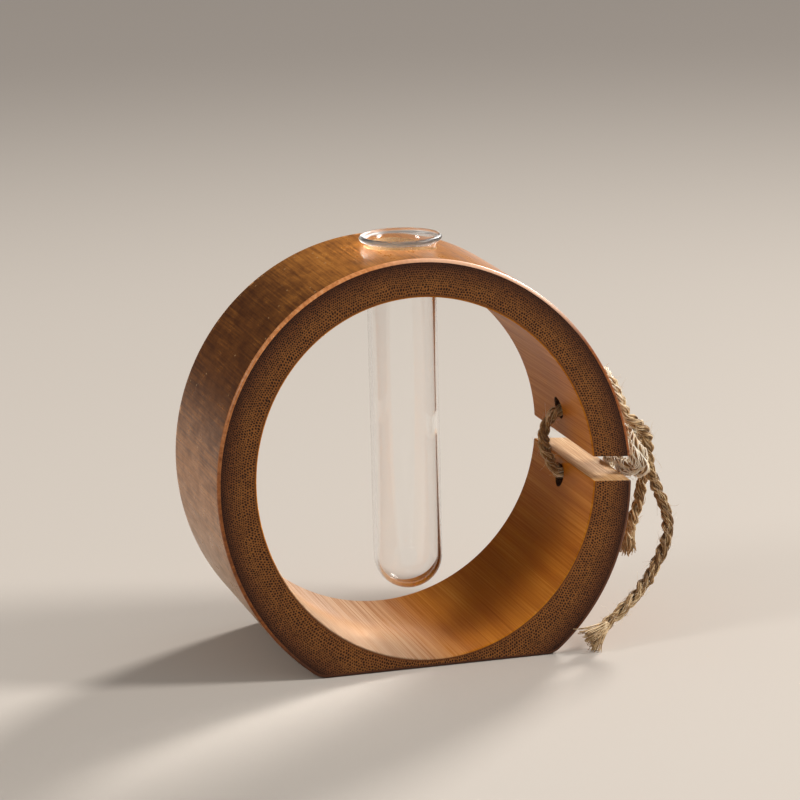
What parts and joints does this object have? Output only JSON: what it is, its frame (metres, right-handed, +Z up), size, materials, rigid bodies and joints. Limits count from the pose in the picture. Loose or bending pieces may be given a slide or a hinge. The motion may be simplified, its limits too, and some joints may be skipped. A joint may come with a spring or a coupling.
{
  "type": "bamboo ring vase",
  "caption": "Free-standing bamboo ring vase: a slice of culm on a flat foot holds a lift-out glass test tube in its crown, with a jute tie across a slit in its wall.",
  "frame": {"origin": "on the table, under the middle of the ring's foot", "axes": "+X to the right as seen from the front, towards the slit; +Y from the leaning front face to the back; +Z up"},
  "size_m": [0.1328, 0.0644, 0.1137],
  "materials": {
    "bamboo": "satin carbonised bamboo, dark dotted end grain on the sawn faces, pale raw cuts in the slit",
    "glass": "clear gloss",
    "jute": "matte twisted natural fibre with loose hairs"
  },
  "bodies": {
    "ring": {"bamboo_ring": "bamboo", "twine_inner_loop": "jute", "twine_upper_run": "jute", "twine_lower_run": "jute", "twine_knot": "jute", "twine_long_tail": "jute", "twine_short_tail": "jute"},
    "tube": {"glass_tube": "glass"}
  },
  "joints": [
    {"name": "tube_lift", "type": "slide", "parent": "ring", "child": "tube", "axis": [0, 0, 1], "range_m": [0, 0.105]}
  ]
}
